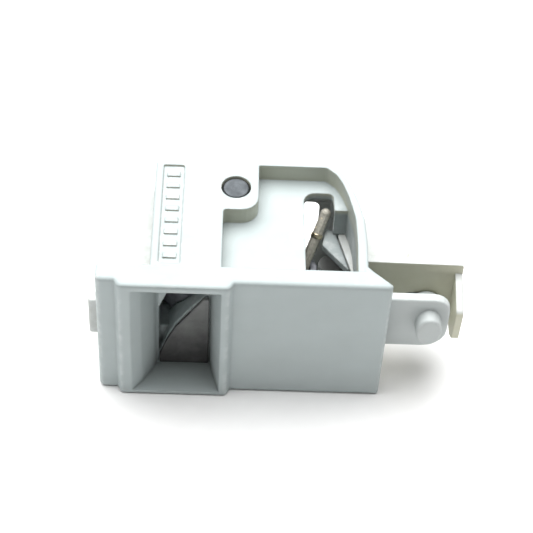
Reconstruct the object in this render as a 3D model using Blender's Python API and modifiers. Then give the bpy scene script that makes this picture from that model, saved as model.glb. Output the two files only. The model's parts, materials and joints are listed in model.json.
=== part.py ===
"""Stair gate latch: a moulded housing with a pivoting hook and a push slider. Lengths below are in millimetres."""

import math

import bmesh
import bpy
from mathutils import Matrix, Vector

# One millimetre in scene units, the facets of a round edge, and the gap kept between separate pieces.
MM = 0.001
FACETS = 32
SMALL_FACETS = 18
SMALL_RADIUS = 2.6
ARC_STEPS = 5
GAP = 0.3
PAST = 1.0

# Levels of the housing above its base.
BLOCK_TOP = 39.0
PAD_TOP = 38.6
PAD_UNDER = 36.6
DECK_TOP = 34.0
DECK_UNDER = 32.0
SHOULDER_TOP = 29.5
SHOULDER_UNDER = 28.1
COVER_TOP = 2.0
SCREW_BOSS_TOP = 10.0

# The front block. Each corner of an outline is (x, y, corner radius).
BLOCK_FRONT = -19.0
BLOCK_BACK = -14.2
BLOCK_OUTLINE = (
    (-32.8, BLOCK_FRONT, 1.3),
    (33.9, BLOCK_FRONT, 0.7),
    (28.7, BLOCK_BACK, 0.4),
    (-32.8, BLOCK_BACK, 0.8),
)
BLOCK_EDGE = 0.8
CORNER_WEB = ((26.7, -14.7, 0.0), (29.05, -14.7, 0.0), (27.5, -12.9, 0.2), (26.7, -12.9, 0.0))
CORNER_WEB_Z = (29.9, 38.7)
POCKETS = ((0.6, 8.9), (10.3, 18.6), (20.0, 27.2))
POCKET_FRONT = -16.8
POCKET_LOW = 2.4
POCKET_HIGH = 36.4

# The collar around the mouth, and the passage behind it.
COLLAR_OUTLINE = (
    (-27.6, -20.8, 1.1),
    (-3.2, -20.8, 1.1),
    (-2.0, -18.6, 0.8),
    (-2.0, -17.4, 0.2),
    (-28.8, -17.4, 0.2),
    (-28.8, -18.6, 0.8),
)
COLLAR_EDGE = 0.6
COLLAR_Z = (0.07, 39.04)
MOUTH_OUTLINE = (
    (-26.2, -22.0, 0.0),
    (-4.5, -22.0, 0.0),
    (-4.9, -20.6, 0.0),
    (-6.6, -15.2, 2.5),
    (-7.3, -11.5, 0.3),
    (-19.3, -11.5, 0.3),
    (-20.2, -14.0, 3.0),
    (-22.8, -18.4, 2.5),
)
MOUTH_LOW = 1.3
MOUTH_HIGH = 37.1
DUCT_OUTLINE = (
    (-24.6, -15.0, 0.2),
    (-5.4, -15.0, 0.2),
    (-6.2, -2.2, 0.6),
    (-21.0, -2.2, 0.6),
    (-22.0, -8.0, 0.6),
)
DUCT_LOW = 0.1
DUCT_TOP = 37.4
DUCT_SHOULDER = 27.8
DUCT_UPPER_OUTLINE = (
    (-20.6, -14.9, 0.2),
    (-5.5, -14.9, 0.2),
    (-6.3, -2.4, 0.6),
    (-20.6, -2.4, 0.6),
)
CATCH_SLOPE = (
    (-15.2, 15.6, 1.6),
    (-11.0, 22.2, 3.0),
    (-8.4, 25.6, 1.0),
    (-8.4, 27.4, 0.5),
    (-16.8, 27.4, 0.5),
    (-19.2, 20.6, 1.0),
)
CATCH_CUT_OUTLINE = ((-19.2, 4.0, 0.2), (-17.2, 10.6, 3.0), *CATCH_SLOPE)
CATCH_CUT_FRONT = -12.4
CATCH_CUT_BACK = -8.8
CATCH_DEEP_OUTLINE = ((-19.2, 10.75, 0.1), (-17.15, 10.75, 0.1), *CATCH_SLOPE)
CATCH_DEEP_FRONT = -9.4
CATCH_DEEP_BACK = 2.0
DUCT_CORE = ((-16.9, -9.4, -1.0), (-8.8, -4.4, 8.4))

# The upper shell: its outline, the pad with its tab, and the recess beside the pad.
UPPER_OUTLINE = (
    (-21.0, BLOCK_BACK - 0.6, 0.0),
    (27.5, BLOCK_BACK - 0.6, 0.0),
    (27.6, -5.3, 14.0),
    (27.2, 1.6, 14.0),
    (26.3, 5.9, 14.0),
    (25.2, 9.7, 14.0),
    (23.8, 13.4, 14.0),
    (22.0, 16.4, 5.0),
    (20.0, 18.4, 2.2),
    (-21.0, 18.4, 1.4),
)
UPPER_EDGE = 0.5
WALL = 2.0
RECESS_OUTLINE = (
    (-5.1, BLOCK_BACK - 0.2, 0.1),
    (25.2, BLOCK_BACK - 0.2, 0.1),
    (25.35, -5.3, 12.0),
    (25.1, 1.7, 12.0),
    (24.4, 5.3, 12.0),
    (23.55, 8.9, 12.0),
    (22.4, 12.5, 12.0),
    (20.9, 15.3, 3.0),
    (18.7, 17.3, 1.0),
    (2.9, 17.3, 0.3),
    (2.9, 3.3, 3.9),
    (-5.1, 3.3, 0.8),
)
CAVITY_OUTLINE = (
    (-19.0, -16.0, 0.3),
    (25.3, -16.0, 0.3),
    (25.45, -5.3, 12.0),
    (25.2, 1.7, 12.0),
    (24.5, 5.3, 12.0),
    (23.65, 8.9, 12.0),
    (22.5, 12.5, 12.0),
    (20.9, 15.2, 3.0),
    (18.8, 16.5, 1.0),
    (-19.0, 16.5, 1.0),
)
PAD_CAVITY_OUTLINE = (
    (-19.0, -13.0, 0.3),
    (-7.0, -13.0, 0.3),
    (-7.0, 5.2, 1.0),
    (1.0, 5.2, 1.0),
    (1.0, 16.4, 0.6),
    (-19.0, 16.4, 0.6),
)
WINDOW_OUTLINE = (
    (13.9, -12.6, 0.6),
    (25.3, -12.6, 0.6),
    (25.43, -5.3, 12.0),
    (25.18, 1.7, 12.0),
    (24.48, 5.3, 8.0),
    (23.8, 8.1, 0.1),
    (20.7, 8.1, 0.2),
    (20.5, 13.4, 1.4),
    (13.5, 13.4, 2.7),
)
SKIRT_OUTLINE = (
    (20.8, 8.15, 0.1),
    (23.7, 8.15, 0.1),
    (24.43, 5.3, 8.0),
    (25.13, 1.7, 12.0),
    (25.38, -5.3, 12.0),
    (25.25, -11.0, 0.1),
    (26.3, -11.0, 0.1),
    (26.45, -5.3, 12.0),
    (26.2, 1.9, 12.0),
    (25.4, 5.8, 8.0),
    (24.4, 9.8, 0.3),
    (20.8, 9.8, 0.1),
)
SKIRT_Z = (25.9, 33.4)
STEP_FOOT = ((20.9, 8.3, 24.0), (22.2, 9.6, 26.4))
SHOULDER_CUT_OUTLINE = (
    (-19.0, -16.0, 0.3),
    (26.65, -16.0, 0.3),
    (26.8, -5.3, 12.0),
    (26.5, 2.1, 12.0),
    (25.7, 6.1, 8.0),
    (24.6, 10.1, 3.0),
    (22.6, 13.6, 3.0),
    (20.6, 16.0, 2.0),
    (-19.0, 16.5, 1.0),
)
SHELF_Z = (23.8, 25.6)
SHELF_OUTLINE = ((18.3, 4.8, 0.3), (19.3, 9.5, 0.4), (21.45, 9.5, 0.2), (21.65, 7.5, 0.2), (24.45, -2.9, 0.1))
LEDGE_RADIUS = 31.4
LEDGE_ARC = (4.0, 32.0)
LEDGE_INNER = ((22.4, 10.6), (22.1, 7.6), (25.1, -3.8))
LABEL_OUTLINE = ((-19.2, -13.4, 0.5), (-14.3, -13.4, 0.5), (-14.3, 16.6, 0.5), (-19.2, 16.6, 0.5))
LABEL_DEPTH = 0.45
LABEL_BARS = 8
LABEL_BAR_SIZE = (3.0, 1.5, 0.32)
LABEL_BAR_FIRST = -10.9
LABEL_BAR_PITCH = 3.55
LABEL_X = -16.75

# The lower shell: a round-sided tub with a bracket on its right.
SHELL_CENTRE_Y = -6.0
SHELL_RADIUS = 32.8
SHELL_FRONT = -13.9
SHELL_BACK = 18.4
SHELL_CORNER = 3.0
SHELL_EDGE = 0.7
REAR_OPENING = ((4.0, 9.4, 1.8), (17.8, 9.4, 1.8), (17.8, 27.8, 1.9), (4.0, 27.8, 1.9))
ARM_SLOT = ((22.6, -16.0, 12.2), (36.0, -3.8, 31.0))
NUB = ((-35.1, -13.9, 13.4), (-31.4, -11.0, 25.2))
NUB_EDGE = 0.5
SHOULDER_NOTCH = ((-20.9, -16.0, 27.0), (-5.0, -2.1, 31.0))
BRACKET_OUTLINE = (
    (28.0, 6.4, 0.4),
    (44.6, 6.4, 2.0),
    (50.5, 12.4, 1.6),
    (50.5, 30.0, 0.8),
    (28.0, 30.3, 0.2),
)
BRACKET_FRONT = -4.0
BRACKET_BACK = -2.0
FLANGE_OUTLINE = (
    (-2.4, 11.9, 0.2),
    (-9.6, 11.9, 1.0),
    (-12.9, 14.4, 0.8),
    (-13.6, 24.3, 1.2),
    (-2.4, 27.7, 0.2),
)
FLANGE_X = (48.8, 50.46)
BRACKET_SLOT_X = (37.3, 45.0)
BRACKET_SLOT_HALF = 2.1
LUG = ((37.8, -2.5, 27.2), (41.4, 0.4, 29.7))

# The base cover and its screws.
COVER_RADIUS = 30.5
COVER_BACK = 16.1
COVER_NOTCH = (
    (-26.8, -20.0, 0.0),
    (-4.6, -20.0, 0.0),
    (-5.85, -1.85, 0.6),
    (-21.3, -1.85, 0.6),
    (-22.4, -8.0, 0.6),
)
PIVOT = (-2.3, 10.2)
PIVOT_BOSS_RADIUS = 5.6
PIVOT_BOSS_TOP = 10.1
PIN_SOCKET_FLOOR = 3.0
SCREWS = ((-21.3, 12.3), (21.3, 12.3), (-26.7, -11.0), (-1.9, -11.0))
BOSS_RIB_HALF = 1.0
BOSS_RIB_FRONT = -15.0
SCREW_RADIUS = 1.0
SCREW_HOLE = 1.3
SCREW_TIP = 8.6
HEAD_RADIUS = 2.2
HEAD_HEIGHT = 1.0
HEAD_LOW = 0.15
HEAD_HOLE = 2.5
HEAD_HOLE_TOP = 1.25
BOSS_RADIUS = 2.9
CROSS_SIZE = (2.6, 0.6, 0.5)

# The pivot pin and what is threaded on it.
PIN_RADIUS = 3.2
PIN_HOLE = 3.45
PIN_LOW = 3.3
PIN_TOP = 38.35
PIN_EDGE = 0.4
GROOVE = (22.1, 23.0)
GROOVE_RADIUS = 2.6
CLIP_Z = (22.25, 22.85)
CLIP_INNER = 2.9
CLIP_OUTER = 5.2
CLIP_MOUTH = 2.2
WASHER_RADIUS = 5.8
LOWER_WASHER_Z = (10.4, 11.0)
UPPER_WASHER_Z = (21.3, 21.95)
BUSH_INNER = 3.5
BUSH_OUTER = 4.4
BUSH_Z = (11.6, 20.8)
PIN_BOSS_RADIUS = 4.8
PIN_BOSS_LOW = 31.0

# The hook turns on the pin. Its outline is in polar steps about the pin: (degrees, radius, corner radius).
HOOK_Z = (11.6, 19.4)
HUB_Z = (11.3, 21.0)
HUB_RADIUS = 5.9
HUB_BORE = 4.7
CLAW_RADIUS = 20.2
CLAW_INNER = 12.4
CLAW_FROM = 195.0
CLAW_TO = 238.0
CLAW_STEPS = 10
CLAW_TIP = ((247.5, 17.6), (245.0, 13.4))
CLAW_ROOT = ((206.0, 11.4), (216.0, 5.2))
CLAW_BACK = ((150.0, 4.9), (164.0, 6.8), (178.0, 13.2), (187.0, 18.8))
POCKET_RADIUS = 20.6
POCKET_Z = (10.7, 26.4)
ARM_HALF = (3.9, 3.1)
ROD_FOOT = (14.4, 3.0)
NOSE_PIN = (236.0, 16.4)
NOSE_PIN_RADIUS = 1.3
NOSE_PIN_HOLE = 1.6
NOSE_PIN_Z = (11.0, 20.0)
HOOK_EDGE = 0.35

# The bent release rod fixed in the hook's arm: points of its centre line.
ROD_RADIUS = 1.2
ROD_HOLE = 1.5
ROD_LINE = (
    (14.4, 3.0, 5.4),
    (14.4, 3.0, 19.3),
    (14.5, 3.2, 20.3),
    (14.9, 3.9, 21.3),
    (16.9, 7.4, 25.6),
    (18.9, 10.9, 29.8),
)

# The slider. Its outline is in x and z.
SLIDER_Y = (-14.0, -11.6)
SLIDER_OUTLINE = (
    (15.85, 4.6, 0.6),
    (24.0, 4.6, 1.2),
    (29.6, 12.6, 1.6),
    (47.3, 12.6, 5.6),
    (47.3, 29.0, 4.2),
    (27.0, 29.0, 1.0),
    (23.4, 22.0, 1.0),
    (15.85, 22.0, 0.6),
)
SLIDER_EDGE = 0.45
PUSHER = ((15.85, -12.4, 4.6), (19.4, 5.4, 11.2))
KNOB_X = 42.6
KNOB_Z = 21.4
KNOB_HALF = (2.95, 4.4)
KNOB_FRONT = -17.3
KNOB_EDGE = 0.6
PIN_AXIS = (42.9, 17.9)
TUBE_RADIUS = 3.3
TUBE_BACK = -4.6
TUBE_BORE = 1.9
TUBE_BORE_FRONT = -10.0
CROSS_PIN_RADIUS = 1.65
CROSS_PIN_Y = (-9.7, 2.6)
CAP_RADIUS = 5.2
CAP_NECK = 4.1
CAP_Y = (-1.5, 6.8)
CAP_BORE_END = 2.9
SPRING_AXIS = (-11.2, 7.4)
GUIDE_RADIUS = 1.0
GUIDE_X = (1.0, 11.6)
GUIDE_WALL = ((-0.4, -15.0, 4.4), (2.2, -8.4, 10.6))
GUIDE_HOLE = 1.3
LOWER_RAIL = ((3.4, -15.0, 2.5), (27.0, -11.7, 4.25))
UPPER_RAIL = ((3.4, -15.0, 22.4), (19.4, -11.7, 24.0))

# The two springs.
TORSION_RADIUS = 5.4
TORSION_WIRE = 0.55
TORSION_Z = (24.0, 29.6)
TORSION_TURNS = 3.6
TORSION_START = 150.0
TORSION_LEG = ((-12.2, 13.9, 24.0), (-13.0, 14.3, 23.2), (-13.0, 14.3, 16.6))
TORSION_TAIL = ((7.6, 14.4, 29.6),)
TAIL_POST = (9.6, 14.0)
TAIL_POST_RADIUS = 1.5
TAIL_POST_LOW = 27.0
RETURN_RADIUS = 1.9
RETURN_WIRE = 0.35
RETURN_X = (2.9, 15.15)
RETURN_TURNS = 6.0
STEPS_PER_TURN = 14

# The rubber stop on the passage's back wall.
BUMPER_OUTLINE = (
    (-19.0, 1.6, 0.2),
    (-7.6, 1.6, 0.2),
    (-7.6, 25.2, 0.4),
    (-8.8, 25.2, 0.5),
    (-11.3, 21.1, 3.0),
    (-15.4, 14.6, 1.6),
    (-17.4, 9.8, 3.0),
    (-19.0, 4.6, 0.2),
)
BUMPER_Y = (-12.7, -11.8)
BUMPER_EDGE = 0.3

COLOURS = {
    "front_housing": ((0.62, 0.66, 0.66), 0.0, 0.5),
    "rear_shell": ((0.60, 0.63, 0.63), 0.0, 0.5),
    "base_cover": ((0.56, 0.59, 0.59), 0.0, 0.55),
    "release_slider": ((0.56, 0.60, 0.60), 0.0, 0.5),
    "pin_cap": ((0.52, 0.54, 0.54), 0.0, 0.5),
    "striker_bumper": ((0.05, 0.05, 0.05), 0.0, 0.8),
    "latch_hook": ((0.05, 0.055, 0.08), 0.8, 0.4),
    "hook_bush": ((0.45, 0.32, 0.16), 1.0, 0.4),
}
STEEL = ((0.5, 0.5, 0.5), 1.0, 0.35)


def clear_scene():
    for old in list(bpy.data.objects):
        bpy.data.objects.remove(old)
    parts = bpy.data.collections.new("stair_gate_latch")
    cutters = bpy.data.collections.new("cutters")
    cutters.hide_render = True
    bpy.context.scene.collection.children.link(parts)
    bpy.context.scene.collection.children.link(cutters)
    return parts, cutters


PARTS, CUTTERS = clear_scene()


def rounded(corners):
    """The points of a closed outline, with each corner (x, y, radius) rounded off."""
    points = []
    count = len(corners)
    for index, (x, y, radius) in enumerate(corners):
        here = Vector((x, y))
        back = Vector(corners[index - 1][:2]) - here
        ahead = Vector(corners[(index + 1) % count][:2]) - here
        if radius <= 0.0:
            points.append((x, y))
            continue
        half = back.angle(ahead) / 2
        reach = min(radius / math.tan(half), back.length * 0.49, ahead.length * 0.49)
        radius = reach * math.tan(half)
        bisector = (back.normalized() + ahead.normalized()).normalized()
        centre = here + bisector * (radius / math.sin(half))
        first = here + back.normalized() * reach - centre
        last = here + ahead.normalized() * reach - centre
        turn = first.angle_signed(last)
        steps = max(2, round(ARC_STEPS * abs(turn) / (math.pi / 2)))
        for step in range(steps + 1):
            angle = math.atan2(first.y, first.x) - turn * step / steps
            points.append((centre.x + radius * math.cos(angle), centre.y + radius * math.sin(angle)))
    return points


def arc(centre, radius, start, end, steps):
    points = []
    for step in range(steps + 1):
        angle = math.radians(start + (end - start) * step / steps)
        points.append((centre[0] + radius * math.cos(angle), centre[1] + radius * math.sin(angle)))
    return points


def around_pivot(degrees, radius):
    return arc(PIVOT, radius, degrees, degrees, 1)[0]


def finish(name, mesh, collection):
    """Puts a mesh in the scene. A cutter is hidden from renders, and any other piece gets its own material."""
    obj = bpy.data.objects.new(name, mesh)
    collection.objects.link(obj)
    if collection is CUTTERS:
        obj.hide_render = True
        obj.display_type = "WIRE"
        return obj
    colour, metallic, roughness = COLOURS.get(name, STEEL)
    material = bpy.data.materials.new(name)
    material.use_nodes = True
    shader = material.node_tree.nodes["Principled BSDF"]
    shader.inputs["Base Color"].default_value = (*colour, 1.0)
    shader.inputs["Metallic"].default_value = metallic
    shader.inputs["Roughness"].default_value = roughness
    mesh.materials.append(material)
    return obj


def mesh_of(name, shape):
    """A mesh from a bmesh given in millimetres, with its faces outwards."""
    bmesh.ops.recalc_face_normals(shape, faces=shape.faces)
    bmesh.ops.scale(shape, vec=Vector((MM, MM, MM)), verts=shape.verts)
    mesh = bpy.data.meshes.new(name)
    shape.to_mesh(mesh)
    shape.free()
    return mesh


def solid_curve(name, curve, turn, collection):
    """The solid of a curve as a mesh, turned by a matrix, with flat faces joined up."""
    holder = bpy.data.objects.new(name, curve)
    PARTS.objects.link(holder)
    graph = bpy.context.evaluated_depsgraph_get()
    made = bpy.data.meshes.new_from_object(holder.evaluated_get(graph))
    bpy.data.objects.remove(holder)
    bpy.data.curves.remove(curve)
    shape = bmesh.new()
    shape.from_mesh(made)
    bpy.data.meshes.remove(made)
    bmesh.ops.remove_doubles(shape, verts=shape.verts, dist=0.002)
    bmesh.ops.dissolve_limit(shape, angle_limit=0.002, verts=shape.verts, edges=shape.edges)
    bmesh.ops.transform(shape, matrix=turn, verts=shape.verts)
    return finish(name, mesh_of(name, shape), collection)


# Turns that stand an outline up: drawn in x and z, or in y and z, with its thickness along the third axis.
ALONG_Z = Matrix.Identity(4)
ALONG_Y = Matrix(((1, 0, 0, 0), (0, 0, 1, 0), (0, 1, 0, 0), (0, 0, 0, 1)))
ALONG_X = Matrix(((0, 0, 1, 0), (1, 0, 0, 0), (0, 1, 0, 0), (0, 0, 0, 1)))


def prism(name, outline, low, high, collection=CUTTERS, turn=ALONG_Z):
    """A flat outline made solid between two levels."""
    curve = bpy.data.curves.new(name, "CURVE")
    curve.dimensions = "2D"
    curve.fill_mode = "BOTH"
    curve.extrude = (high - low) / 2
    spline = curve.splines.new("POLY")
    spline.points.add(len(outline) - 1)
    for point, (x, y) in zip(spline.points, outline):
        point.co = (x, y, 0.0, 1.0)
    spline.use_cyclic_u = True
    shift = Matrix.Translation((0.0, 0.0, (low + high) / 2))
    return solid_curve(name, curve, turn @ shift, collection)


def box(name, low, high, collection=CUTTERS):
    shape = bmesh.new()
    bmesh.ops.create_cube(shape, size=1.0)
    size = Vector(high) - Vector(low)
    bmesh.ops.scale(shape, vec=size, verts=shape.verts)
    bmesh.ops.translate(shape, vec=(Vector(high) + Vector(low)) / 2, verts=shape.verts)
    return finish(name, mesh_of(name, shape), collection)


def facets_for(radius):
    return SMALL_FACETS if radius < SMALL_RADIUS else FACETS


def rod(name, centre, radius, low, high, collection=CUTTERS, turn=ALONG_Z):
    """A round bar between two levels. The centre is in the two axes across it."""
    shape = bmesh.new()
    bmesh.ops.create_cone(
        shape,
        cap_ends=True,
        segments=facets_for(radius),
        radius1=radius,
        radius2=radius,
        depth=high - low,
    )
    bmesh.ops.translate(shape, vec=(centre[0], centre[1], (low + high) / 2), verts=shape.verts)
    bmesh.ops.transform(shape, matrix=turn, verts=shape.verts)
    return finish(name, mesh_of(name, shape), collection)


def turned(name, profile, centre, collection=PARTS, turn=ALONG_Z):
    """A turned piece from (radius, level) steps, listed down its outer side from the top to the bottom."""
    mesh = bpy.data.meshes.new(name)
    points = [(radius * MM, 0.0, level * MM) for radius, level in profile]
    edges = [(index, index + 1) for index in range(len(points) - 1)]
    if profile[0][0] > 0.0:
        edges.append((len(points) - 1, 0))
    mesh.from_pydata(points, edges, [])
    obj = finish(name, mesh, collection)
    screw = obj.modifiers.new("turning", "SCREW")
    screw.axis = "Z"
    facets = facets_for(max(radius for radius, _ in profile))
    screw.steps = facets
    screw.render_steps = facets
    screw.use_merge_vertices = True
    screw.merge_threshold = 0.00001
    screw.use_smooth_shade = False
    obj.matrix_world = turn @ Matrix.Translation((centre[0] * MM, centre[1] * MM, 0.0))
    return obj


def wire(name, line, radius, collection=PARTS):
    """A round wire along a line of points, with its ends closed."""
    curve = bpy.data.curves.new(name, "CURVE")
    curve.dimensions = "3D"
    curve.bevel_depth = radius
    curve.bevel_resolution = 2
    curve.use_fill_caps = True
    spline = curve.splines.new("POLY")
    spline.points.add(len(line) - 1)
    for point, place in zip(spline.points, line):
        point.co = (*place, 1.0)
    return solid_curve(name, curve, Matrix.Identity(4), collection)


def boolean(obj, other, operation):
    modifier = obj.modifiers.new(other.name, "BOOLEAN")
    modifier.operation = operation
    modifier.solver = "EXACT"
    modifier.object = other


def cut(obj, *others):
    for other in others:
        boolean(obj, other, "DIFFERENCE")


def join(obj, *others):
    for other in others:
        boolean(obj, other, "UNION")


def soften(obj, width, segments=2):
    """Rounds the sharp edges of a piece before anything is cut from it."""
    bevel = obj.modifiers.new("edges", "BEVEL")
    bevel.width = width * MM
    bevel.segments = segments
    bevel.limit_method = "ANGLE"
    bevel.angle_limit = math.radians(50)
    return obj


def shell_outline(radius, front, back, corner):
    """The round-sided plan of the lower shell, from its front right end round the back to its front left."""
    reach = math.sqrt(radius**2 - (front - SHELL_CENTRE_Y) ** 2)
    start = math.degrees(math.atan2(front - SHELL_CENTRE_Y, reach))
    corner_angle = math.degrees(math.asin((back - SHELL_CENTRE_Y) / radius))
    points = arc((0.0, SHELL_CENTRE_Y), radius, start, corner_angle - 3.0, 14)
    inner = Vector(points[-1])
    left = [(-x, y) for x, y in reversed(points)]
    middle_right = (inner.x - corner * 0.7, back)
    middle_left = (-inner.x + corner * 0.7, back)
    return points + [middle_right, middle_left] + left


def make_front_housing():
    body = prism("front_housing", rounded(BLOCK_OUTLINE), 0.0, BLOCK_TOP, PARTS)
    soften(body, BLOCK_EDGE, 3)
    for index, (left, right) in enumerate(POCKETS):
        low = (left, POCKET_FRONT, POCKET_LOW)
        high = (right, BLOCK_BACK + PAST, POCKET_HIGH)
        cut(body, box(f"block_pocket_{index + 1}", low, high))
    collar = prism("mouth_collar", rounded(COLLAR_OUTLINE), *COLLAR_Z)
    join(body, soften(collar, COLLAR_EDGE, 3))
    upper = prism("upper_shell", rounded(UPPER_OUTLINE), SHOULDER_TOP + GAP, PAD_TOP)
    soften(upper, UPPER_EDGE, 2)
    cut(upper, prism("recess", rounded(RECESS_OUTLINE), DECK_TOP, PAD_TOP + PAST))
    cut(upper, prism("deck_cavity", rounded(CAVITY_OUTLINE), SHOULDER_TOP - PAST, DECK_UNDER))
    cut(upper, prism("pad_cavity", rounded(PAD_CAVITY_OUTLINE), DECK_UNDER - PAST, PAD_UNDER))
    cut(upper, prism("deck_window", rounded(WINDOW_OUTLINE), DECK_UNDER - PAST, DECK_TOP + PAST))
    label = prism("label_recess", rounded(LABEL_OUTLINE), PAD_TOP - LABEL_DEPTH, PAD_TOP + PAST)
    cut(upper, label)
    join(body, upper)
    for index in range(LABEL_BARS):
        middle = LABEL_BAR_FIRST + index * LABEL_BAR_PITCH
        wide, deep, tall = LABEL_BAR_SIZE
        base = PAD_TOP - LABEL_DEPTH
        low = (LABEL_X - wide / 2, middle - deep / 2, base - LABEL_DEPTH)
        high = (LABEL_X + wide / 2, middle + deep / 2, base + tall)
        join(body, box(f"label_bar_{index + 1}", low, high))
    join(body, prism("duct", rounded(DUCT_OUTLINE), DUCT_LOW, DUCT_SHOULDER))
    join(body, prism("duct_upper", rounded(DUCT_UPPER_OUTLINE), DUCT_SHOULDER - PAST, DUCT_TOP))
    join(body, rod("pin_boss", PIVOT, PIN_BOSS_RADIUS, PIN_BOSS_LOW, PAD_UNDER + LABEL_DEPTH))
    join(body, rod("tail_post", TAIL_POST, TAIL_POST_RADIUS, TAIL_POST_LOW, DECK_UNDER + LABEL_DEPTH))
    join(body, prism("corner_web", rounded(CORNER_WEB), *CORNER_WEB_Z))
    join(body, prism("skirt", rounded(SKIRT_OUTLINE), *SKIRT_Z))
    join(body, box("step_foot", *STEP_FOOT))
    join(body, prism("shelf", rounded(SHELF_OUTLINE), *SHELF_Z))
    join(body, box("guide_wall", *GUIDE_WALL))
    join(body, box("lower_rail", *LOWER_RAIL))
    join(body, box("upper_rail", *UPPER_RAIL))
    for index in (2, 3):
        place = SCREWS[index]
        boss = rod(f"front_boss_{index - 1}", place, BOSS_RADIUS, COVER_TOP + GAP, SCREW_BOSS_TOP)
        low = (place[0] - BOSS_RIB_HALF, BOSS_RIB_FRONT, COVER_TOP + GAP * 2)
        high = (place[0] + BOSS_RIB_HALF, place[1], SCREW_BOSS_TOP - GAP)
        join(body, boss, box(f"front_rib_{index - 1}", low, high))
        pilot = rod(f"front_pilot_{index - 1}", place, SCREW_HOLE, COVER_TOP - PAST, SCREW_TIP + GAP)
        cut(body, pilot)
    cut(body, prism("mouth", rounded(MOUTH_OUTLINE), MOUTH_LOW, MOUTH_HIGH))
    cut(body, box("duct_core", *DUCT_CORE))
    cut(body, rod("hook_pocket", PIVOT, POCKET_RADIUS, *POCKET_Z))
    catch = rounded(CATCH_CUT_OUTLINE)
    cut(body, prism("catch_opening", catch, CATCH_CUT_FRONT, CATCH_CUT_BACK, turn=ALONG_Y))
    deep = rounded(CATCH_DEEP_OUTLINE)
    cut(body, prism("catch_deep", deep, CATCH_DEEP_FRONT, CATCH_DEEP_BACK, turn=ALONG_Y))
    cut(body, rod("pin_hole", PIVOT, PIN_HOLE, PIN_BOSS_LOW - PAST, PAD_TOP + PAST))
    guide_hole = rod("guide_hole", SPRING_AXIS, GUIDE_HOLE, GUIDE_X[0] - GAP, GUIDE_X[1], turn=ALONG_X)
    cut(body, guide_hole)


def make_rear_shell():
    outer = shell_outline(SHELL_RADIUS, SHELL_FRONT, SHELL_BACK, SHELL_CORNER)
    body = prism("rear_shell", outer, 0.0, SHOULDER_TOP, PARTS)
    soften(body, SHELL_EDGE, 2)
    inner = shell_outline(SHELL_RADIUS - WALL, SHELL_FRONT - PAST, SHELL_BACK - WALL, SHELL_CORNER)
    cut(body, prism("shell_cavity", inner, -PAST, SHOULDER_UNDER))
    shoulder = rounded(SHOULDER_CUT_OUTLINE)
    cut(body, prism("shoulder_cut", shoulder, SHOULDER_UNDER - PAST, SHOULDER_TOP + PAST))
    cut(body, box("shoulder_notch", *SHOULDER_NOTCH))
    for index in (0, 1):
        place = SCREWS[index]
        join(body, rod(f"rear_boss_{index + 1}", place, BOSS_RADIUS, COVER_TOP + GAP, SCREW_BOSS_TOP))
        cut(body, rod(f"rear_pilot_{index + 1}", place, SCREW_HOLE, COVER_TOP - PAST, SCREW_TIP + GAP))
    opening = prism(
        "rear_opening", rounded(REAR_OPENING), SHELL_BACK - WALL - PAST, SHELL_BACK + PAST, turn=ALONG_Y
    )
    cut(body, opening)
    ledge = arc((0.0, SHELL_CENTRE_Y), LEDGE_RADIUS, *LEDGE_ARC, 6) + list(LEDGE_INNER)
    join(body, prism("inner_ledge", ledge, *SHELF_Z))
    cut(body, box("arm_slot", *ARM_SLOT))
    join(body, soften(box("side_nub", *NUB), NUB_EDGE))
    bracket = prism("bracket", rounded(BRACKET_OUTLINE), BRACKET_FRONT, BRACKET_BACK, turn=ALONG_Y)
    left, right = BRACKET_SLOT_X
    slot = (
        (left, PIN_AXIS[1] - BRACKET_SLOT_HALF, BRACKET_SLOT_HALF),
        (right, PIN_AXIS[1] - BRACKET_SLOT_HALF, BRACKET_SLOT_HALF),
        (right, PIN_AXIS[1] + BRACKET_SLOT_HALF, BRACKET_SLOT_HALF),
        (left, PIN_AXIS[1] + BRACKET_SLOT_HALF, BRACKET_SLOT_HALF),
    )
    join(bracket, prism("flange", rounded(FLANGE_OUTLINE), *FLANGE_X, turn=ALONG_X))
    join(bracket, box("lug", *LUG))
    slot_cut = prism(
        "bracket_slot", rounded(slot), BRACKET_FRONT - PAST, BRACKET_BACK + PAST, turn=ALONG_Y
    )
    cut(bracket, slot_cut)
    join(body, bracket)


def make_base_cover():
    outline = shell_outline(COVER_RADIUS, SHELL_FRONT, COVER_BACK, SHELL_CORNER)
    body = prism("base_cover", outline, 0.0, COVER_TOP, PARTS)
    cut(body, prism("duct_notch", rounded(COVER_NOTCH), -PAST, COVER_TOP + PAST))
    join(body, rod("pivot_boss", PIVOT, PIVOT_BOSS_RADIUS, COVER_TOP - PAST, PIVOT_BOSS_TOP))
    cut(body, rod("pin_socket", PIVOT, PIN_HOLE, PIN_SOCKET_FLOOR, PIVOT_BOSS_TOP + PAST))
    for index, place in enumerate(SCREWS):
        cut(body, rod(f"screw_hole_{index + 1}", place, SCREW_HOLE, -PAST, COVER_TOP + PAST))
        cut(body, rod(f"head_hole_{index + 1}", place, HEAD_HOLE, -PAST, HEAD_HOLE_TOP))


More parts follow.
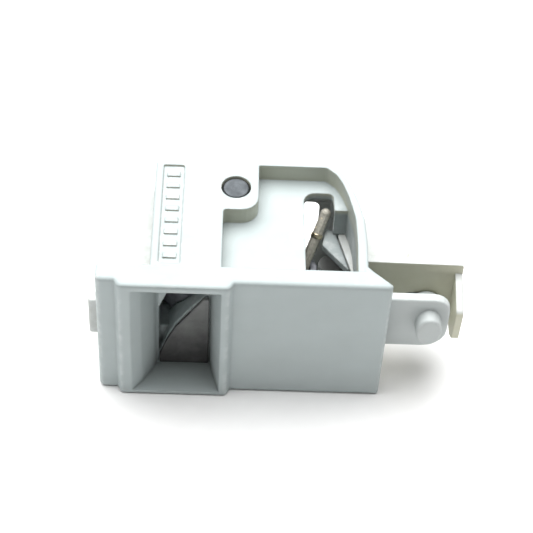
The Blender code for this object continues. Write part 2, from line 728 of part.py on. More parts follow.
def make_screws():
    head_top = HEAD_LOW + HEAD_HEIGHT
    profile = (
        (0.0, SCREW_TIP),
        (SCREW_RADIUS * 0.6, SCREW_TIP - 0.4),
        (SCREW_RADIUS, SCREW_TIP - 1.2),
        (SCREW_RADIUS, head_top),
        (HEAD_RADIUS, head_top),
        (HEAD_RADIUS, HEAD_LOW + 0.4),
        (HEAD_RADIUS - 0.35, HEAD_LOW),
        (0.0, HEAD_LOW),
    )
    long, narrow, deep = CROSS_SIZE
    for index, place in enumerate(SCREWS):
        screw = turned(f"cover_screw_{index + 1}", profile, place)
        for label, wide, tall in (("a", long, narrow), ("b", narrow, long)):
            low = (place[0] - wide / 2, place[1] - tall / 2, HEAD_LOW - PAST)
            high = (place[0] + wide / 2, place[1] + tall / 2, HEAD_LOW + deep)
            cut(screw, box(f"cross_{index + 1}{label}", low, high))


def ring(name, inner, outer, low, high):
    profile = ((outer, high), (outer, low), (inner, low), (inner, high))
    return turned(name, profile, PIVOT)


def make_pin_stack():
    profile = (
        (0.0, PIN_TOP),
        (PIN_RADIUS - PIN_EDGE, PIN_TOP),
        (PIN_RADIUS, PIN_TOP - PIN_EDGE),
        (PIN_RADIUS, GROOVE[1]),
        (GROOVE_RADIUS, GROOVE[1]),
        (GROOVE_RADIUS, GROOVE[0]),
        (PIN_RADIUS, GROOVE[0]),
        (PIN_RADIUS, PIN_LOW + PIN_EDGE),
        (PIN_RADIUS - PIN_EDGE, PIN_LOW),
        (0.0, PIN_LOW),
    )
    turned("pivot_pin", profile, PIVOT)
    ring("lower_washer", BUSH_INNER, WASHER_RADIUS, *LOWER_WASHER_Z)
    ring("upper_washer", BUSH_INNER, WASHER_RADIUS, *UPPER_WASHER_Z)
    ring("hook_bush", BUSH_INNER, BUSH_OUTER, *BUSH_Z)
    clip = ring("retaining_clip", CLIP_INNER, CLIP_OUTER, *CLIP_Z)
    low = (PIVOT[0], PIVOT[1] - CLIP_MOUTH, CLIP_Z[0] - PAST)
    high = (PIVOT[0] + CLIP_OUTER + PAST, PIVOT[1] + CLIP_MOUTH, CLIP_Z[1] + PAST)
    cut(clip, box("clip_mouth", low, high))


def set_origin(obj, place):
    """Moves a piece's origin to a point and leaves its shape where it is."""
    shift = Vector(place) * MM
    obj.data.transform(Matrix.Translation(-shift))
    obj.location = shift


def make_hook():
    outline = [around_pivot(*step) for step in CLAW_BACK]
    outline += arc(PIVOT, CLAW_RADIUS, CLAW_FROM, CLAW_TO, CLAW_STEPS)
    outline += [around_pivot(*step) for step in CLAW_TIP]
    outline += arc(PIVOT, CLAW_INNER, CLAW_TO, CLAW_ROOT[0][0] + 6.0, CLAW_STEPS)
    outline += [around_pivot(*step) for step in CLAW_ROOT]
    hook = prism("latch_hook", outline, *HOOK_Z, PARTS)
    soften(hook, HOOK_EDGE, 2)
    foot = Vector(ROD_FOOT)
    centre = Vector(PIVOT)
    along = (foot - centre).normalized()
    across = Vector((-along.y, along.x))
    near, far = ARM_HALF
    corners = (
        (centre + across * near, 0.4),
        (centre - across * near, 0.4),
        (foot - across * far + along * far, far),
        (foot + across * far + along * far, far),
    )
    arm = prism("hook_arm", rounded([(*place, radius) for place, radius in corners]), *HOOK_Z)
    join(hook, soften(arm, HOOK_EDGE, 2))
    join(hook, soften(rod("hook_hub", PIVOT, HUB_RADIUS, *HUB_Z), HOOK_EDGE, 2))
    cut(hook, rod("hub_bore", PIVOT, HUB_BORE, HUB_Z[0] - PAST, HUB_Z[1] + PAST))
    cut(hook, rod("rod_hole", ROD_FOOT, ROD_HOLE, HOOK_Z[0] - PAST, HOOK_Z[1] + PAST))
    nose = around_pivot(*NOSE_PIN)
    cut(hook, rod("nose_hole", nose, NOSE_PIN_HOLE, HOOK_Z[0] - PAST, HOOK_Z[1] + PAST))
    set_origin(hook, (*PIVOT, HOOK_Z[0]))
    profile = (
        (0.0, NOSE_PIN_Z[1]),
        (NOSE_PIN_RADIUS - 0.25, NOSE_PIN_Z[1]),
        (NOSE_PIN_RADIUS, NOSE_PIN_Z[1] - 0.25),
        (NOSE_PIN_RADIUS, NOSE_PIN_Z[0] + 0.25),
        (NOSE_PIN_RADIUS - 0.25, NOSE_PIN_Z[0]),
        (0.0, NOSE_PIN_Z[0]),
    )
    turned("hook_nose_pin", profile, nose)
    release = wire("release_rod", ROD_LINE, ROD_RADIUS)
    shape = bmesh.new()
    bmesh.ops.create_uvsphere(shape, u_segments=12, v_segments=8, radius=ROD_RADIUS * 1.06)
    bmesh.ops.translate(shape, vec=Vector(ROD_LINE[-1]), verts=shape.verts)
    join(release, finish("rod_end", mesh_of("rod_end", shape), CUTTERS))


def make_slider():
    slider = prism("release_slider", rounded(SLIDER_OUTLINE), *SLIDER_Y, PARTS, ALONG_Y)
    soften(slider, SLIDER_EDGE, 2)
    join(slider, box("pusher", *PUSHER))
    place = PIN_AXIS
    across, up = KNOB_HALF
    oval = [(KNOB_X + across * x, KNOB_Z + up * z) for x, z in arc((0.0, 0.0), 1.0, 0.0, 360.0, FACETS)]
    knob = prism("knob", oval[:-1], KNOB_FRONT, SLIDER_Y[0] + PAST, turn=ALONG_Y)
    join(slider, soften(knob, KNOB_EDGE, 3))
    join(slider, rod("tube", place, TUBE_RADIUS, SLIDER_Y[1] - PAST, TUBE_BACK, turn=ALONG_Y))
    cut(slider, rod("tube_bore", place, TUBE_BORE, TUBE_BORE_FRONT, TUBE_BACK + PAST, turn=ALONG_Y))
    socket = (PUSHER[0][0] - PAST, PUSHER[1][0] - PAST)
    cut(slider, rod("guide_socket", SPRING_AXIS, GUIDE_HOLE, *socket, turn=ALONG_X))
    edge = 0.3
    pin = (
        (0.0, CROSS_PIN_Y[1]),
        (CROSS_PIN_RADIUS - edge, CROSS_PIN_Y[1]),
        (CROSS_PIN_RADIUS, CROSS_PIN_Y[1] - edge),
        (CROSS_PIN_RADIUS, CROSS_PIN_Y[0] + edge),
        (CROSS_PIN_RADIUS - edge, CROSS_PIN_Y[0]),
        (0.0, CROSS_PIN_Y[0]),
    )
    turned("cross_pin", pin, place, turn=ALONG_Y)
    cap = (
        (0.0, CAP_Y[1]),
        (CAP_NECK * 0.7, CAP_Y[1] - 0.15),
        (CAP_NECK, CAP_Y[1] - 1.0),
        (CAP_NECK, CAP_Y[0] + 2.4),
        (CAP_RADIUS - edge, CAP_Y[0] + 2.0),
        (CAP_RADIUS, CAP_Y[0] + 1.6),
        (CAP_RADIUS, CAP_Y[0]),
        (TUBE_BORE, CAP_Y[0]),
        (TUBE_BORE, CAP_BORE_END),
        (0.0, CAP_BORE_END),
    )
    turned("pin_cap", cap, place, turn=ALONG_Y)
    guide = (
        (0.0, GUIDE_X[1]),
        (GUIDE_RADIUS - edge, GUIDE_X[1]),
        (GUIDE_RADIUS, GUIDE_X[1] - edge),
        (GUIDE_RADIUS, GUIDE_X[0]),
        (0.0, GUIDE_X[0]),
    )
    turned("spring_guide_post", guide, SPRING_AXIS, turn=ALONG_X)


def helix(radius, turns, start, low, high):
    """Points of a coil about the origin, as (x, y, level)."""
    count = round(turns * STEPS_PER_TURN)
    points = []
    for step in range(count + 1):
        share = step / count
        angle = math.radians(start) + share * turns * 2 * math.pi
        points.append((radius * math.cos(angle), radius * math.sin(angle), low + (high - low) * share))
    return points


def make_springs():
    coil = helix(TORSION_RADIUS, TORSION_TURNS, TORSION_START, *TORSION_Z)
    placed = [(x + PIVOT[0], y + PIVOT[1], z) for x, y, z in coil]
    line = list(reversed(TORSION_LEG)) + placed + list(TORSION_TAIL)
    wire("torsion_spring", line, TORSION_WIRE)
    coil = helix(RETURN_RADIUS, RETURN_TURNS, 0.0, *RETURN_X)
    placed = [(level, x + SPRING_AXIS[0], y + SPRING_AXIS[1]) for x, y, level in coil]
    wire("return_spring", placed, RETURN_WIRE)


make_front_housing()
make_rear_shell()
make_base_cover()
make_screws()
make_pin_stack()
make_hook()
make_slider()
make_springs()
bumper = prism("striker_bumper", rounded(BUMPER_OUTLINE), *BUMPER_Y, PARTS, ALONG_Y)
soften(bumper, BUMPER_EDGE, 2)
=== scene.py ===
"""Looks of the stair gate latch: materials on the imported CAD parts, a crimped band, studio and camera."""

import json
import math

import bmesh
import bpy
from mathutils import Matrix, Vector

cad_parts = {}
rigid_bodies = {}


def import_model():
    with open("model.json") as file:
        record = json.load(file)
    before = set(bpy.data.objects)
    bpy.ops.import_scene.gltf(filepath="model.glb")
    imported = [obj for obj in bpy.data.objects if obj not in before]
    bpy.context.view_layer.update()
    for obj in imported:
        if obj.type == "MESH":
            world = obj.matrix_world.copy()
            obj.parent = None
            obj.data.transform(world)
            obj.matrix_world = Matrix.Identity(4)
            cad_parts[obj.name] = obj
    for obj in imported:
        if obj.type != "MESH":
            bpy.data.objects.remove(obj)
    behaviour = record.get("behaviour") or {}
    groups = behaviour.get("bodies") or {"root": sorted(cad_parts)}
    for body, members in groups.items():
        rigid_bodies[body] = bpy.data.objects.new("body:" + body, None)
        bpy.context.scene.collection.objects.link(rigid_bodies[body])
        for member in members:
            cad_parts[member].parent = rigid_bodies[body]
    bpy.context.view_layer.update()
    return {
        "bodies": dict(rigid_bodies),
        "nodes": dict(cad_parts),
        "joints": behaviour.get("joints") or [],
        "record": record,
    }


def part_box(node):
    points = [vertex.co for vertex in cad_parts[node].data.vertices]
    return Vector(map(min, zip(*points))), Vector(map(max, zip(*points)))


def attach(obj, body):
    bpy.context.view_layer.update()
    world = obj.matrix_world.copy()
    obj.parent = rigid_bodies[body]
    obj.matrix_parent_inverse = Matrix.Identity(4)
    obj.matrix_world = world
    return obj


MM = 0.001
SHARP_ANGLE = math.radians(32.0)

# Camera: where it stands and how it is turned, in degrees and metres.
CAMERA_AZIMUTH = -2.31
CAMERA_ELEVATION = 49.40
CAMERA_ROLL = 3.65
CAMERA_PLACE = Vector((-0.0050, -0.2577, 0.3237))
SENSOR = 36.0
LENS = 114.8
CLIP_NEAR = 0.01
CLIP_FAR = 20.0

# Studio: sizes and distances in metres, powers in watts.
FLOOR_SIZE = 6.0
FLOOR_DROP = 0.0004
TOP_LIGHT_SIZE = 1.00
TOP_LIGHT_PLACE = (-0.03, 0.215, 0.65)
TOP_LIGHT_POWER = 14.0
SIDE_LIGHT_SIZE = 0.5
SIDE_LIGHT_PLACE = (-0.50, 0.10, 0.42)
SIDE_LIGHT_POWER = 0.35
LIGHT_AIM = (0.0, 0.0, 0.01)
WORLD_STRENGTH = 0.26

# Colours in linear light.
HOUSING = (0.418, 0.474, 0.475)
HOUSING_DEEP = (0.382, 0.428, 0.427)
SHELL = (0.540, 0.560, 0.548)
SHELL_DEEP = (0.495, 0.510, 0.485)
COVER = (0.500, 0.535, 0.525)
COVER_DEEP = (0.430, 0.455, 0.440)
ARM = (0.500, 0.535, 0.532)
ARM_DEEP = (0.450, 0.480, 0.474)
EDGE_LIGHT = (0.660, 0.690, 0.680)
# Painted warm shade: recess walls and bracket face tinted as if by light bounced into their shade.
PAINTED_WARM_SHADE = (0.560, 0.545, 0.400)
PIN_STEEL = (0.085, 0.093, 0.100)
ZINC = (0.520, 0.520, 0.500)
SPRING = (0.330, 0.330, 0.330)
ROD = (0.490, 0.470, 0.405)
BLUED = (0.300, 0.308, 0.340)
BRONZE = (0.400, 0.285, 0.140)
COLLAR_ZINC = (0.640, 0.560, 0.400)
CLIP_STEEL = (0.10, 0.10, 0.11)
RUBBED_STEEL = (0.16, 0.17, 0.19)
SCUFF = (0.80, 0.70, 0.50)
# Painted shade on the passage's back liner, from its dark foot to its paler top.
LINER_SHADE_DARK = (0.040, 0.040, 0.040)
LINER_SHADE_PALE = (0.230, 0.235, 0.228)
# Painted shade: the dark colour laid into hollows, corners and the passage.
PAINTED_SHADE = (0.075, 0.075, 0.072)
FLOOR_PALE = (0.880, 0.880, 0.875)
FLOOR_DEEP = (0.865, 0.865, 0.860)

# Painted shade and painted warm shade in the hollows: how far the openness of a place is felt out, in metres;
# the openness where each starts and where it is full; and how much of the base colour each covers.
SHADE_REACH = 20.0 * MM
INSIDE_REACH = 40.0 * MM
SHADE_START = 0.69
COVER_SHADE_START = 0.5
INSIDE_START = 0.85
INSIDE_FULL = 0.60
WARM_SHADE_START = 0.92
WARM_SHADE_FULL = 0.70
SHADE_SHARE = 0.85
# How much of the painted shade the recess and the ramp are spared.
RECESS_SHADE_CUT = 0.60
RAMP_SHADE_CUT = 0.80
HOUSING_WARM_SHADE_SHARE = 0.60
SHELL_WARM_SHADE_SHARE = 0.75

# How widely the shading rounds the edges, in metres.
HOUSING_EDGE = 0.7 * MM
LIP_EDGE = 1.8 * MM
SHELL_EDGE = 0.6 * MM
COVER_EDGE = 0.5 * MM
ARM_EDGE = 0.7 * MM

# Plastic: noise scales in features per metre, then how light passes through it.
CLOUD_SCALE = 38.0
FLOW_SCALE = 90.0
SPECK_SCALE = 2600.0
WEAR_SCALE = 420.0
WAVE_SCALE = 160.0
GRAIN_SCALE = 5200.0
PLASTIC_IOR = 1.49
PLASTIC_SPECULAR = 0.42
SUBSURFACE_SHARE = 0.06
SUBSURFACE_DEPTH = 1.2 * MM
SUBSURFACE_SPREAD = (1.0, 0.95, 0.85)

# Metal: noise scales in features per metre, and how much darker or lighter its stains are.
RING_SCALE = 5200.0
DRAWN_SCALE = 1500.0
STAIN_SCALE = 240.0
DARKER = 0.62
LIGHTER = 1.22
ROD_DARKER = 0.74
BLUED_LIGHTER = 1.9

# Places on the part that the materials follow, in metres.
BLOCK_BACK = -14.0 * MM
RECESS_FOOT = 32.6 * MM
LIP_BACK = -17.0 * MM
LIP_FOOT = 35.0 * MM
RAMP_FRONT = -12.7 * MM
RAMP_RIGHT = -7.6 * MM
BRACKET_FROM = 27.0 * MM
PIVOT = (-2.3 * MM, 10.2 * MM, 0.0)
# The inside of the rear shell below its ledge, where painted shade is laid.
SHELL_INSIDE = 29.9 * MM
REAR_INSIDE = 16.4 * MM
LEDGE_FOOT = 23.2 * MM
# Heights over which the liner's painted shade fades from dark to pale.
LINER_SHADE_Z = (6.0 * MM, 25.0 * MM)
SCREWS = 4

# Crimped band on the release rod: the rod's last straight run, where the band sits on it, and its outline as
# (along the rod, radius), in millimetres.
ROD_BEND = (14.9, 3.9, 21.3)
ROD_TIP = (18.9, 10.9, 29.8)
COLLAR_SHARE = 0.52
COLLAR_PROFILE = (
    (-0.55, 1.14),
    (-0.50, 1.36),
    (-0.25, 1.42),
    (0.0, 1.33),
    (0.25, 1.42),
    (0.50, 1.36),
    (0.55, 1.14),
)
COLLAR_SIDES = 40


class Graph:
    """A short way to write a material's nodes."""

    def __init__(self, name):
        self.material = bpy.data.materials.new(name)
        self.material.use_nodes = True
        self.nodes = self.material.node_tree.nodes
        self.links = self.material.node_tree.links
        self.shader = self.nodes["Principled BSDF"]
        self.place = self.node("ShaderNodeTexCoord").outputs["Object"]

    def node(self, kind, **settings):
        made = self.nodes.new(kind)
        for key, value in settings.items():
            setattr(made, key, value)
        return made

    def link(self, output, socket):
        self.links.new(output, socket)

    def noise(self, scale, detail=3.0, roughness=0.55, stretch=(1.0, 1.0, 1.0)):
        """Noise over the object's own space; scale is in features per metre."""
        mapping = self.node("ShaderNodeMapping")
        mapping.inputs["Scale"].default_value = stretch
        self.link(self.place, mapping.inputs["Vector"])
        noise = self.node("ShaderNodeTexNoise")
        noise.inputs["Scale"].default_value = scale
        noise.inputs["Detail"].default_value = detail
        noise.inputs["Roughness"].default_value = roughness
        self.link(mapping.outputs["Vector"], noise.inputs["Vector"])
        return noise.outputs["Fac"]

    def spread(self, value, low, high, to_low, to_high):
        """The value from low..high laid out over to_low..to_high."""
        made = self.node("ShaderNodeMapRange")
        for key, number in zip(("From Min", "From Max", "To Min", "To Max"), (low, high, to_low, to_high)):
            made.inputs[key].default_value = number
        self.link(value, made.inputs["Value"])
        return made.outputs["Result"]

    def between(self, factor, first, second):
        """A colour between two, each a colour or another node's output."""
        made = self.node("ShaderNodeMix", data_type="RGBA")
        self.link(factor, made.inputs["Factor"])
        for key, colour in (("A", first), ("B", second)):
            socket = next(s for s in made.inputs if s.name == key and s.type == "RGBA")
            if isinstance(colour, tuple):
                socket.default_value = (*colour, 1.0)
            else:
                self.link(colour, socket)
        return next(s for s in made.outputs if s.type == "RGBA")

    def sum(self, *values):
        """All the values added up."""
        total = values[0]
        for value in values[1:]:
            made = self.node("ShaderNodeMath", operation="ADD")
            self.link(total, made.inputs[0])
            self.link(value, made.inputs[1])
            total = made.outputs[0]
        return total

    def bump(self, height, strength, distance, normal=None):
        made = self.node("ShaderNodeBump")
        made.inputs["Strength"].default_value = strength
        made.inputs["Distance"].default_value = distance
        self.link(height, made.inputs["Height"])
        if normal is not None:
            self.link(normal, made.inputs["Normal"])
        return made.outputs["Normal"]

    def rounded(self, radius):
        """A normal that rounds every edge by this radius."""
        made = self.node("ShaderNodeBevel", samples=6)
        if isinstance(radius, float):
            made.inputs["Radius"].default_value = radius
        else:
            self.link(radius, made.inputs["Radius"])
        return made.outputs["Normal"]

    def edges(self):
        """0 on flat faces, rising to 1 on outer edges."""
        pointed = self.node("ShaderNodeNewGeometry").outputs["Pointiness"]
        return self.spread(pointed, 0.52, 0.62, 0.0, 1.0)

    def hollows(self, reach, start, full):
        """0 in the open, rising to 1 where the surface lies deep in a hollow of its own piece."""
        made = self.node("ShaderNodeAmbientOcclusion", samples=6, only_local=True)
        made.inputs["Distance"].default_value = reach
        return self.spread(made.outputs["AO"], full, start, 1.0, 0.0)

    def axes(self):
        """The three parts of the place on the object."""
        made = self.node("ShaderNodeSeparateXYZ")
        self.link(self.place, made.inputs[0])
        return made.outputs

    def upright(self):
        """1 on upright walls, 0 on faces that look up or down."""
        facing = self.node("ShaderNodeSeparateXYZ")
        self.link(self.node("ShaderNodeTexCoord").outputs["Normal"], facing.inputs[0])
        size = self.node("ShaderNodeMath", operation="ABSOLUTE")
        self.link(facing.outputs["Z"], size.inputs[0])
        return self.spread(size.outputs[0], 0.25, 0.75, 1.0, 0.0)

    def distance(self, centre):
        """How far a place is from an upright line through the centre."""
        offset = self.node("ShaderNodeVectorMath", operation="SUBTRACT")
        offset.inputs[1].default_value = centre
        self.link(self.place, offset.inputs[0])
        flat = self.node("ShaderNodeVectorMath", operation="MULTIPLY")
        flat.inputs[1].default_value = (1.0, 1.0, 0.0)
        self.link(offset.outputs["Vector"], flat.inputs[0])
        length = self.node("ShaderNodeVectorMath", operation="LENGTH")
        self.link(flat.outputs["Vector"], length.inputs[0])
        return length.outputs["Value"]

    def product(self, first, second):
        """Two values multiplied, held between 0 and 1."""
        made = self.node("ShaderNodeMath", operation="MULTIPLY", use_clamp=True)
        self.link(first, made.inputs[0])
        self.link(second, made.inputs[1])
        return made.outputs[0]

    def finish(self, colour, roughness, normal):
        self.link(colour, self.shader.inputs["Base Color"])
        self.link(roughness, self.shader.inputs["Roughness"])
        self.link(normal, self.shader.inputs["Normal"])
        return self.material


def step(graph, value, at, width):
    """0 below the place and 1 above it, changing over the width; a negative width turns it round."""
    if width > 0:
        return graph.spread(value, at, at + width, 0.0, 1.0)
    return graph.spread(value, at + width, at, 1.0, 0.0)


def housing_plastic():
    """The front housing: painted warm shade on the walls in the recess, and painted shade in its hollows and
    passage, less in the recess and on its ramp.
    """
    graph = Graph("housing_plastic")
    x, y, z = graph.axes()
    behind = step(graph, y, BLOCK_BACK, 0.5 * MM)
    recess = graph.product(step(graph, z, RECESS_FOOT, 1.0 * MM), behind)
    hollow = graph.hollows(SHADE_REACH, WARM_SHADE_START, WARM_SHADE_FULL)
    warm_shade = graph.product(graph.product(graph.upright(), recess), hollow)
    ramp = graph.product(step(graph, y, RAMP_FRONT, 0.2 * MM), step(graph, x, RAMP_RIGHT, -0.4 * MM))
    recess_less_shade = graph.spread(recess, 0.0, 1.0, 0.0, RECESS_SHADE_CUT)
    ramp_less_shade = graph.spread(ramp, 0.0, 1.0, 0.0, RAMP_SHADE_CUT)
    shade_kept = graph.spread(graph.sum(recess_less_shade, ramp_less_shade), 0.0, 1.0, 1.0, 0.0)
    shade_mask = graph.product(graph.hollows(SHADE_REACH, SHADE_START, 0.0), shade_kept)
    lip = graph.product(step(graph, y, LIP_BACK, -0.5 * MM), step(graph, z, LIP_FOOT, 2.0 * MM))
    edge_radius = graph.spread(lip, 0.0, 1.0, HOUSING_EDGE, LIP_EDGE)
    return moulded_plastic(graph, HOUSING, HOUSING_DEEP, edge_radius, shade_mask, warm_shade, HOUSING_WARM_SHADE_SHARE)


def shell_plastic():
    """The rear shell: painted warm shade on its walls at the bracket, and painted shade in the hollows of its
    inside.
    """
    graph = Graph("shell_plastic")
    x, y, z = graph.axes()
    warm_shade = graph.product(graph.upright(), step(graph, x, BRACKET_FROM, 2.0 * MM))
    near = step(graph, graph.distance(PIVOT), SHELL_INSIDE, -0.5 * MM)
    inner = graph.product(near, step(graph, y, REAR_INSIDE, -0.3 * MM))
    low = graph.product(inner, step(graph, z, LEDGE_FOOT, -0.5 * MM))
    shade_mask = graph.product(low, graph.hollows(INSIDE_REACH, INSIDE_START, INSIDE_FULL))
    return moulded_plastic(graph, SHELL, SHELL_DEEP, SHELL_EDGE, shade_mask, warm_shade, SHELL_WARM_SHADE_SHARE)


def plain_plastic(name, colour, deep, edge_radius):
    """A moulding with painted shade in its hollows and no warm shade."""
    graph = Graph(name)
    shade_mask = graph.hollows(SHADE_REACH, COVER_SHADE_START, 0.0)
    return moulded_plastic(graph, colour, deep, edge_radius, shade_mask)


def moulded_plastic(graph, colour, deep, edge_radius, shade_mask, warm_shade=None, warm_shade_share=0.0):
    """Injection-moulded plastic: fine grain, faint clouds, pale rubbed edges, painted warm shade and painted
    shade where given.
    """
    clouds = graph.spread(graph.noise(CLOUD_SCALE, detail=4.0), 0.30, 0.72, 0.0, 0.8)
    flow = graph.spread(graph.noise(FLOW_SCALE, stretch=(0.35, 1.0, 1.6)), 0.3, 0.7, 0.0, 0.35)
    base = graph.between(graph.sum(clouds, flow), colour, deep)
    speck = graph.spread(graph.noise(SPECK_SCALE, detail=1.0), 0.66, 0.74, 0.0, 0.28)
    base = graph.between(speck, base, deep)
    worn = graph.spread(graph.noise(WEAR_SCALE), 0.45, 0.7, 0.0, 1.0)
    base = graph.between(graph.product(graph.edges(), worn), base, EDGE_LIGHT)
    # Painted warm shade on the walls that the mask gives.
    if warm_shade is not None:
        base = graph.between(graph.spread(warm_shade, 0.0, 1.0, 0.0, warm_shade_share), base, PAINTED_WARM_SHADE)
    # Painted shade in the hollows over the base colour.
    base = graph.between(graph.spread(shade_mask, 0.0, 1.0, 0.0, SHADE_SHARE), base, PAINTED_SHADE)
    roughness = graph.spread(graph.noise(scale=300.0, detail=4.0), 0.3, 0.7, 0.44, 0.60)
    wave = graph.noise(WAVE_SCALE, detail=2.0)
    normal = graph.bump(wave, 0.12, 0.12 * MM, graph.rounded(edge_radius))
    normal = graph.bump(graph.noise(GRAIN_SCALE, detail=2.0), 0.10, 0.012 * MM, normal)
    shader = graph.shader
    shader.inputs["IOR"].default_value = PLASTIC_IOR
    shader.inputs["Specular IOR Level"].default_value = PLASTIC_SPECULAR
    shader.inputs["Subsurface Weight"].default_value = SUBSURFACE_SHARE
    shader.inputs["Subsurface Scale"].default_value = SUBSURFACE_DEPTH
    shader.inputs["Subsurface Radius"].default_value = SUBSURFACE_SPREAD
    return graph.finish(base, roughness, normal)


def turned_metal(name, colour, centre, smoothest, roughest, stretch=None):
    """Metal with tool rings about a centre, or with a stretched grain where a stretch is given."""
    graph = Graph(name)
    if stretch is None:
        rings = graph.node("ShaderNodeTexNoise", noise_dimensions="1D")
        rings.inputs["Scale"].default_value = RING_SCALE
        rings.inputs["Detail"].default_value = 2.0
        graph.link(graph.distance(centre), rings.inputs["W"])
        lines = rings.outputs["Fac"]
    else:
        lines = graph.noise(DRAWN_SCALE, stretch=stretch)
    stain = graph.noise(STAIN_SCALE, detail=4.0)
    darker = tuple(DARKER * part for part in colour)
    lighter = tuple(min(1.0, LIGHTER * part) for part in colour)
    base = graph.between(graph.spread(stain, 0.35, 0.68, 0.0, 1.0), lighter, darker)
    base = graph.between(graph.spread(lines, 0.45, 0.75, 0.0, 0.5), base, darker)
    roughness = graph.spread(graph.sum(stain, lines), 0.7, 1.3, smoothest, roughest)
    normal = graph.bump(lines, 0.16, 0.02 * MM, graph.rounded(0.12 * MM))
    graph.shader.inputs["Metallic"].default_value = 1.0
    return graph.finish(base, roughness, normal)


def galvanised_rod():
    """Dull zinc on wire: mottled grey brown with small bright scuffs."""
    graph = Graph("galvanised_rod")
    mottle = graph.spread(graph.noise(scale=1600.0, detail=4.0, roughness=0.6), 0.35, 0.66, 0.0, 1.0)
    base = graph.between(mottle, ROD, tuple(ROD_DARKER * part for part in ROD))
    scuff = graph.spread(graph.noise(scale=760.0, detail=1.0), 0.70, 0.76, 0.0, 0.8)
    base = graph.between(scuff, base, SCUFF)
    roughness = graph.spread(mottle, 0.0, 1.0, 0.42, 0.66)
    normal = graph.bump(graph.noise(scale=2400.0), 0.35, 0.05 * MM)
    graph.shader.inputs["Metallic"].default_value = 0.35
    return graph.finish(base, roughness, normal)


def blued_steel():
    """Hardened hook steel: blue grey with a soft sheen and rubbed corners."""
    graph = Graph("blued_steel")
    clouds = graph.spread(graph.noise(scale=160.0, detail=4.0), 0.35, 0.65, 0.0, 1.0)
    base = graph.between(clouds, BLUED, tuple(BLUED_LIGHTER * part for part in BLUED))
    base = graph.between(graph.edges(), base, RUBBED_STEEL)
    roughness = graph.spread(graph.noise(scale=700.0), 0.3, 0.7, 0.30, 0.46)
    grain = graph.noise(scale=1800.0, detail=2.0)
    normal = graph.bump(grain, 0.15, 0.02 * MM, graph.rounded(0.25 * MM))
    graph.shader.inputs["Metallic"].default_value = 0.65
    return graph.finish(base, roughness, normal)


def liner_painted_shade():
    """Matte liner: a dark pad laid where the back of the passage lies in shade, its painted shade darkest at
    its foot and paler towards its top.
    """
    graph = Graph("liner_painted_shade")
    shade_fade = graph.spread(graph.axes()["Z"], *LINER_SHADE_Z, 0.0, 0.85)
    mottle = graph.spread(graph.noise(scale=220.0, detail=4.0), 0.3, 0.7, -0.10, 0.14)
    base = graph.between(graph.sum(shade_fade, mottle), LINER_SHADE_DARK, LINER_SHADE_PALE)
    roughness = graph.spread(graph.noise(scale=900.0, detail=2.0), 0.3, 0.7, 0.70, 0.88)
    grain = graph.noise(scale=3400.0, detail=2.0)
    normal = graph.bump(grain, 0.25, 0.03 * MM, graph.rounded(0.3 * MM))
    return graph.finish(base, roughness, normal)


def floor_material():
    """Pale seamless paper with a trace of fibre."""
    graph = Graph("studio_floor")
    fibre = graph.spread(graph.noise(scale=260.0, detail=4.0), 0.3, 0.7, 0.0, 1.0)
    base = graph.between(fibre, FLOOR_PALE, FLOOR_DEEP)
    roughness = graph.spread(fibre, 0.0, 1.0, 0.8, 0.9)
    normal = graph.bump(fibre, 0.02, 0.02 * MM)
    graph.shader.inputs["Specular IOR Level"].default_value = 0.1
    return graph.finish(base, roughness, normal)


def smooth_by_angle(node):
    """Smooth shading that keeps edges sharper than the angle; the vertices stay where they are."""
    mesh = node.data
    mesh.polygons.foreach_set("use_smooth", [True] * len(mesh.polygons))
    mesh.set_sharp_from_angle(angle=SHARP_ANGLE)


def dress(nodes):
    """Gives every CAD node its material."""
    pivot = sum(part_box("pivot_pin"), Vector()) / 2
    arm = plain_plastic("arm_plastic", ARM, ARM_DEEP, ARM_EDGE)
    spring = turned_metal("spring_steel", SPRING, pivot, 0.24, 0.40, stretch=(0.3, 0.3, 2.0))
    dark = turned_metal("clip_steel", CLIP_STEEL, pivot, 0.32, 0.5)
    materials = {
        "front_housing": housing_plastic(),
        "rear_shell": shell_plastic(),
        "base_cover": plain_plastic("cover_plastic", COVER, COVER_DEEP, COVER_EDGE),
        "release_slider": arm,
        "pin_cap": arm,
        "pivot_pin": turned_metal("pin_steel", PIN_STEEL, pivot, 0.46, 0.60),
        "lower_washer": turned_metal("washer_zinc", ZINC, pivot, 0.3, 0.45),
        "retaining_clip": dark,
        "torsion_spring": spring,
        "return_spring": spring,
        "release_rod": galvanised_rod(),
        "latch_hook": blued_steel(),
        "hook_bush": turned_metal("bush_bronze", BRONZE, pivot, 0.3, 0.45),
        # The bumper's dark liner is painted shade at the back of the passage.
        "striker_bumper": liner_painted_shade(),
    }
    materials["upper_washer"] = materials["lower_washer"]
    for name in ("spring_guide_post", "cross_pin", "hook_nose_pin"):
        centre = sum(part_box(name), Vector()) / 2
        materials[name] = turned_metal(f"{name}_steel", PIN_STEEL, centre, 0.26, 0.42)
    for index in range(1, SCREWS + 1):
        name = f"cover_screw_{index}"
        centre = sum(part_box(name), Vector()) / 2
        materials[name] = turned_metal(f"{name}_zinc", ZINC, centre, 0.28, 0.42)
    for name, node in nodes.items():
        smooth_by_angle(node)
        node.data.materials.clear()
        node.data.materials.append(materials[name])
        for polygon in node.data.polygons:
            polygon.material_index = 0


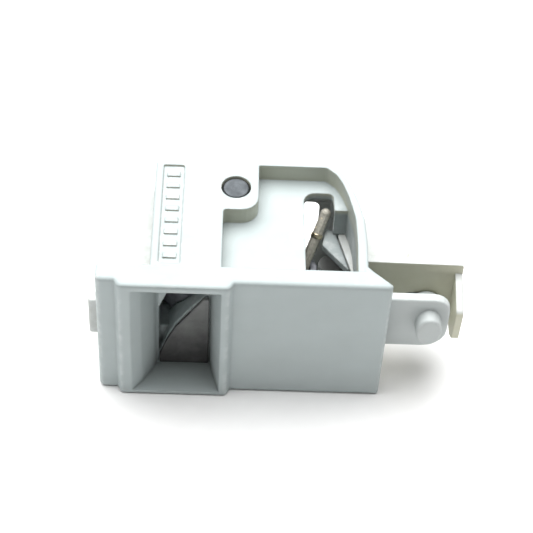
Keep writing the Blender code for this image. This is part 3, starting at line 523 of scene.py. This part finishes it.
def make_rod_collar(material):
    """A crimped band round the release rod's slanted end: a waisted ring with softly rounded lips."""
    start, end = Vector(ROD_BEND) * MM, Vector(ROD_TIP) * MM
    along = (end - start).normalized()
    side = along.orthogonal().normalized()
    other = along.cross(side)
    centre = start.lerp(end, COLLAR_SHARE)
    mesh = bmesh.new()
    rings = []
    for offset, radius in COLLAR_PROFILE:
        ring = []
        for index in range(COLLAR_SIDES):
            angle = 2 * math.pi * index / COLLAR_SIDES
            outward = side * math.cos(angle) + other * math.sin(angle)
            ring.append(mesh.verts.new(centre + along * offset * MM + outward * radius * MM))
        rings.append(ring)
    for lower, upper in zip(rings, rings[1:] + rings[:1]):
        for index in range(COLLAR_SIDES):
            after = (index + 1) % COLLAR_SIDES
            mesh.faces.new((lower[index], lower[after], upper[after], upper[index]))
    bmesh.ops.recalc_face_normals(mesh, faces=mesh.faces)
    for face in mesh.faces:
        face.smooth = True
    data = bpy.data.meshes.new("rod_collar")
    mesh.to_mesh(data)
    mesh.free()
    data.materials.append(material)
    collar = bpy.data.objects.new("rod_collar", data)
    bpy.context.scene.collection.objects.link(collar)
    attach(collar, "hook")


def make_floor():
    mesh = bpy.data.meshes.new("studio_floor")
    half = FLOOR_SIZE / 2
    corners = [(-half, -half, 0.0), (half, -half, 0.0), (half, half, 0.0), (-half, half, 0.0)]
    mesh.from_pydata(corners, [], [(0, 1, 2, 3)])
    floor = bpy.data.objects.new("studio_floor", mesh)
    floor.location.z = -FLOOR_DROP
    mesh.materials.append(floor_material())
    bpy.context.scene.collection.objects.link(floor)


def make_light(name, place, size, power):
    data = bpy.data.lights.new(name, "AREA")
    data.shape = "DISK"
    data.size = size
    data.energy = power
    light = bpy.data.objects.new(name, data)
    light.location = place
    light.rotation_euler = (Vector(LIGHT_AIM) - Vector(place)).to_track_quat("-Z", "Y").to_euler()
    bpy.context.scene.collection.objects.link(light)


def make_studio():
    make_floor()
    make_light("top_softbox", TOP_LIGHT_PLACE, TOP_LIGHT_SIZE, TOP_LIGHT_POWER)
    make_light("side_softbox", SIDE_LIGHT_PLACE, SIDE_LIGHT_SIZE, SIDE_LIGHT_POWER)
    world = bpy.data.worlds.new("studio")
    world.use_nodes = True
    background = world.node_tree.nodes["Background"]
    background.inputs["Color"].default_value = (1.0, 1.0, 1.0, 1.0)
    background.inputs["Strength"].default_value = WORLD_STRENGTH
    bpy.context.scene.world = world
    bpy.context.scene.view_settings.view_transform = "Standard"


def make_camera():
    azimuth = math.radians(CAMERA_AZIMUTH)
    elevation = math.radians(CAMERA_ELEVATION)
    roll = math.radians(CAMERA_ROLL)
    right = Vector((math.cos(azimuth), math.sin(azimuth), 0.0))
    ahead = Vector((
        -math.sin(azimuth) * math.cos(elevation),
        math.cos(azimuth) * math.cos(elevation),
        -math.sin(elevation),
    ))
    up = right.cross(ahead)
    turned_right = right * math.cos(roll) + up * math.sin(roll)
    turned_up = up * math.cos(roll) - right * math.sin(roll)
    data = bpy.data.cameras.new("camera")
    data.lens = LENS
    data.sensor_width = SENSOR
    data.clip_start = CLIP_NEAR
    data.clip_end = CLIP_FAR
    camera = bpy.data.objects.new("camera", data)
    frame = Matrix((turned_right, turned_up, -ahead)).transposed().to_4x4()
    camera.matrix_world = Matrix.Translation(CAMERA_PLACE) @ frame
    bpy.context.scene.collection.objects.link(camera)
    bpy.context.scene.camera = camera


for startup in list(bpy.data.objects):
    bpy.data.objects.remove(startup)
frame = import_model()
dress(frame["nodes"])
collar_zinc = turned_metal("collar_zinc", COLLAR_ZINC, PIVOT, 0.24, 0.38, stretch=(1.0, 1.0, 1.0))
make_rod_collar(collar_zinc)
make_studio()
make_camera()
